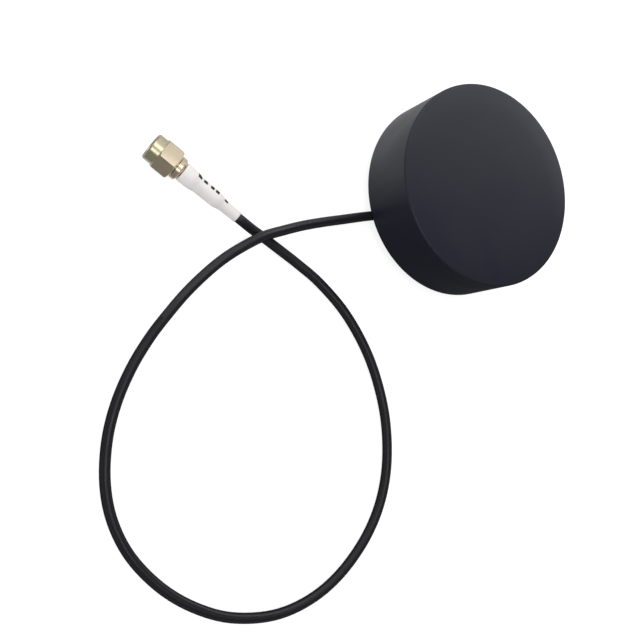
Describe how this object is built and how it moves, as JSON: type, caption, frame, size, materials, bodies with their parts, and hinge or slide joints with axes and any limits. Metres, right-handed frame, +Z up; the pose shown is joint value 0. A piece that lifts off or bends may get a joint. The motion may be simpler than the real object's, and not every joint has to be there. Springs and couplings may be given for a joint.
{
  "type": "gps antenna",
  "caption": "Round puck antenna with a moulded cover and foam foot, a thin coaxial lead that leaves under the rim, and a screw-on plug with a turning hexagonal nut.",
  "frame": {"origin": "centre of the puck's foot pad, on the surface the puck stands on", "axes": "+Z up through the puck's round face, -Y the way the lead leaves, +X to the right of the lead's exit seen from above with the exit down"},
  "size_m": [0.13, 0.1558, 0.0227],
  "materials": {
    "charcoal_plastic": "satin, fine moulded grain",
    "black_plastic": "satin, moulded",
    "black_rubber": "matt, moulded",
    "grey_foam": "matt foam with adhesive",
    "silicone": "satin",
    "zinc_steel": "zinc plated",
    "green_board": "solder mask",
    "ceramic": "fired ceramic",
    "silver": "fired silver",
    "tin_plate": "tin plated",
    "chip_resin": "moulded resin",
    "copper": "bright",
    "cable_jacket": "satin",
    "white_sleeve": "shrunk, half gloss",
    "pale_gold": "pale gold plate, polished",
    "insulator": "turned",
    "gold": "gold plated"
  },
  "bodies": {
    "antenna": {"radome_cover": "charcoal_plastic", "base_plate": "black_plastic", "base_gasket": "silicone", "foot_pad": "grey_foam", "strain_relief": "black_rubber", "cover_screw_1": "zinc_steel", "cover_screw_2": "zinc_steel", "cover_screw_3": "zinc_steel", "cover_screw_4": "zinc_steel", "board_screw_1": "zinc_steel", "board_screw_2": "zinc_steel", "board_screw_3": "zinc_steel", "antenna_board": "green_board", "patch_tape": "black_rubber", "patch_ceramic": "ceramic", "patch_electrode": "silver", "feed_pin": "tin_plate", "shield_can": "tin_plate", "amplifier_chip": "chip_resin", "saw_filter": "tin_plate", "voltage_regulator": "chip_resin", "braid_end": "copper", "core_end": "copper", "coax_cable": "cable_jacket", "heat_shrink_sleeve": "white_sleeve", "crimp_ferrule": "pale_gold", "connector_body": "pale_gold", "snap_ring": "copper", "nut_gasket": "silicone", "dielectric": "insulator", "centre_pin": "gold"},
    "nut": {"coupling_nut": "pale_gold"}
  },
  "joints": [
    {"name": "nut_turn", "type": "hinge", "parent": "antenna", "child": "nut", "pos_m": [-0.02915, -0.0911, 0.004], "axis": [-0.7672, -0.6414, 0], "continuous": true}
  ]
}
